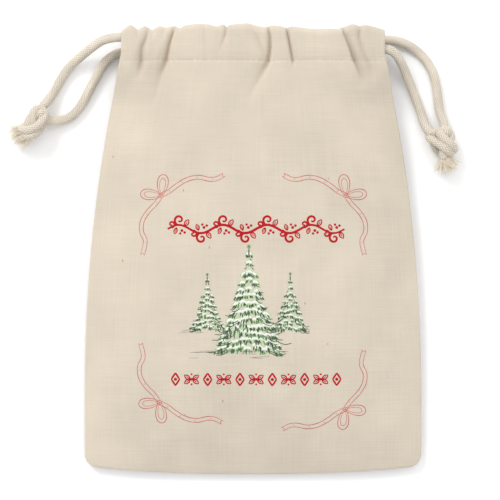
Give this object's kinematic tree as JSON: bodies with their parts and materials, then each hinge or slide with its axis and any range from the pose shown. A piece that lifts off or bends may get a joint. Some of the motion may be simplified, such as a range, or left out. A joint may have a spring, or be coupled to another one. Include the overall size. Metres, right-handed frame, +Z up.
{
  "type": "drawstring gift pouch",
  "caption": "Flat cotton gift pouch with a stitched casing on each side of its mouth and two opposed drawstrings, each knotted at its own side.",
  "frame": {"origin": "under the middle of the cloth bag, cords left out, on the surface it lies on", "axes": "+Y towards the mouth, +Z up out of the printed front, +X to the right seen from above"},
  "size_m": [0.2716, 0.265, 0.0228],
  "materials": {
    "cotton_cloth": "unbleached plain weave, printed on the front",
    "cotton_inside": "unbleached plain weave, raw edge",
    "cotton_cord": "soft twisted cotton cord",
    "frayed_cotton": "loose cotton strands",
    "sewing_thread": "spun sewing thread"
  },
  "bodies": {
    "pouch": {"front_panel": "cotton_cloth", "back_panel": "cotton_cloth", "front_channel": "cotton_cloth", "back_channel": "cotton_cloth", "left_seam_allowance": "cotton_inside", "right_seam_allowance": "cotton_inside", "bottom_seam_allowance": "cotton_inside", "left_seam_thread": "sewing_thread", "right_seam_thread": "sewing_thread", "bottom_seam_thread": "sewing_thread", "front_channel_thread": "sewing_thread", "back_channel_thread": "sewing_thread"},
    "left_cord": {"left_drawstring": "cotton_cord", "left_knot": "cotton_cord", "left_frayed_ends": "frayed_cotton"},
    "right_cord": {"right_drawstring": "cotton_cord", "right_knot": "cotton_cord", "right_frayed_ends": "frayed_cotton"}
  },
  "joints": [
    {"name": "left_cord_pull", "type": "slide", "parent": "pouch", "child": "left_cord", "axis": [-1, 0, 0], "range_m": [-0.003, 0.038], "deforming": ["front_channel", "back_channel"]},
    {"name": "right_cord_pull", "type": "slide", "parent": "pouch", "child": "right_cord", "axis": [1, 0, 0], "range_m": [-0.003, 0.038], "deforming": ["front_channel", "back_channel"]}
  ]
}
